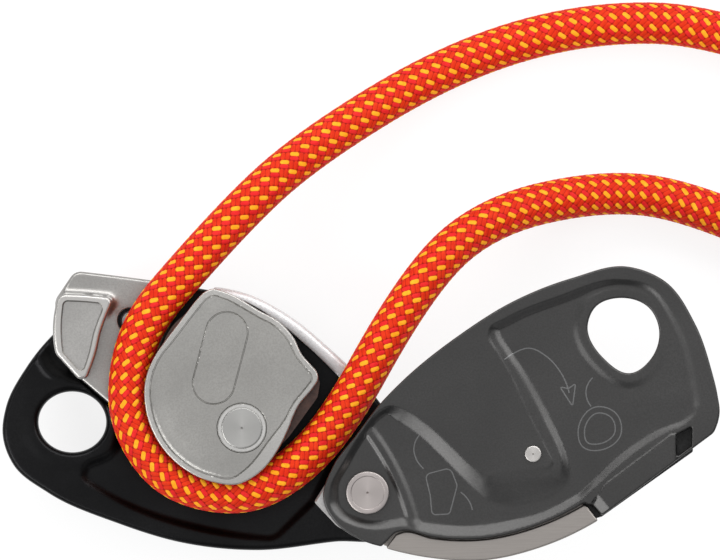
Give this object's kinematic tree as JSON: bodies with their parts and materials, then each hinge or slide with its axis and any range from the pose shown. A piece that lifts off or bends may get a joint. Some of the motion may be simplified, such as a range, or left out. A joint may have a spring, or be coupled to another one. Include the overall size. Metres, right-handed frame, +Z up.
{
  "type": "rope grab",
  "caption": "Hand-sized rope grab: swing-open side plate, braking cam with a rope threaded round it, release handle and mode knob on the back, connector hole in each plate.",
  "frame": {"origin": "on the cam axle's line, in the plane the device lies on, at the outer face of the handle hub", "axes": "+Z up, along the cam axle, from the handle side to the swing-open plate; +X from the cam towards the open plate's free end, along the longest side; +Y across the plates"},
  "size_m": [0.2161, 0.1335, 0.0352],
  "materials": {
    "black_anodised": "black anodised, satin",
    "grey_anodised": "dark grey anodised, satin",
    "stainless": "satin stainless steel",
    "bright_steel": "turned bright steel",
    "cam_dark": "dark brown hard anodised, rough",
    "cam_satin": "satin steel",
    "bronze": "plain bearing bronze",
    "handle_plastic": "moulded nylon, matt black",
    "grip_rubber": "red rubber",
    "knob_plastic": "moulded nylon, red",
    "rope_fabric": "woven kernmantle sheath, red with orange flecks",
    "sleeve_plastic": "heat-shrunk sleeve, matt black"
  },
  "bodies": {
    "root": {"fixed_side_plate": "black_anodised", "friction_plate": "stainless", "rope_guide_pad": "stainless", "guide_pad_rivet_upper": "bright_steel", "guide_pad_rivet_lower": "bright_steel", "pivot_rivet": "bright_steel", "friction_anvil": "stainless", "pivot_washer": "bright_steel", "wave_washer": "bright_steel", "cam_axle": "bright_steel", "axle_washer": "bright_steel", "cam_stop_pin": "bright_steel", "handle_thrust_washer": "bronze", "selector_stud": "bright_steel", "selector_detent_ball": "bright_steel", "rope_wrap": "rope_fabric", "rope_climber_strand": "rope_fabric", "rope_brake_strand": "rope_fabric", "climber_end_cap": "sleeve_plastic", "brake_end_cap": "sleeve_plastic"},
    "cam": {"cam_core": "cam_dark", "cam_top_flange": "cam_satin", "cam_bottom_flange": "cam_satin", "cam_bushing": "bronze", "cam_return_spring": "bright_steel"},
    "side_plate": {"moving_side_plate": "grey_anodised", "latch_block": "grey_anodised", "wear_strip": "stainless", "wear_strip_rivet": "bright_steel", "pivot_bushing": "bronze"},
    "handle": {"handle_shell": "handle_plastic", "handle_grip_inlay": "grip_rubber", "handle_lever": "stainless", "handle_bushing": "bronze", "handle_return_spring": "bright_steel", "release_pawl": "stainless", "release_pawl_pin": "bright_steel"},
    "selector": {"selector_knob": "knob_plastic", "button_spring": "bright_steel"},
    "lock_button": {"selector_lock_button": "handle_plastic"}
  },
  "joints": [
    {"name": "plate_swing", "type": "hinge", "parent": "root", "child": "side_plate", "pos_m": [0.0299, -0.0153, 0.031], "axis": [0, 0, 1], "range_deg": [0, 135.4]},
    {"name": "cam_turn", "type": "hinge", "parent": "root", "child": "cam", "pos_m": [0, 0, 0.021], "axis": [0, 0, 1], "range_deg": [-4, 0], "stiffness_Nm_per_rad": 0.2, "springref_deg": 2.86},
    {"name": "handle_swing", "type": "hinge", "parent": "root", "child": "handle", "pos_m": [0, 0, 0.005], "axis": [0, 0, 1], "range_deg": [0, 90], "stiffness_Nm_per_rad": 0.05, "springref_deg": -11.46},
    {"name": "selector_turn", "type": "hinge", "parent": "root", "child": "selector", "pos_m": [-0.0267, 0.0255, 0.005], "axis": [0, 0, 1], "range_deg": [0, 60]},
    {"name": "lock_button_press", "type": "slide", "parent": "selector", "child": "lock_button", "axis": [0, 0, 1], "range_m": [0, 0.0012], "stiffness_N_per_m": 800, "springref_m": -0.001, "deforming": ["button_spring"]}
  ]
}
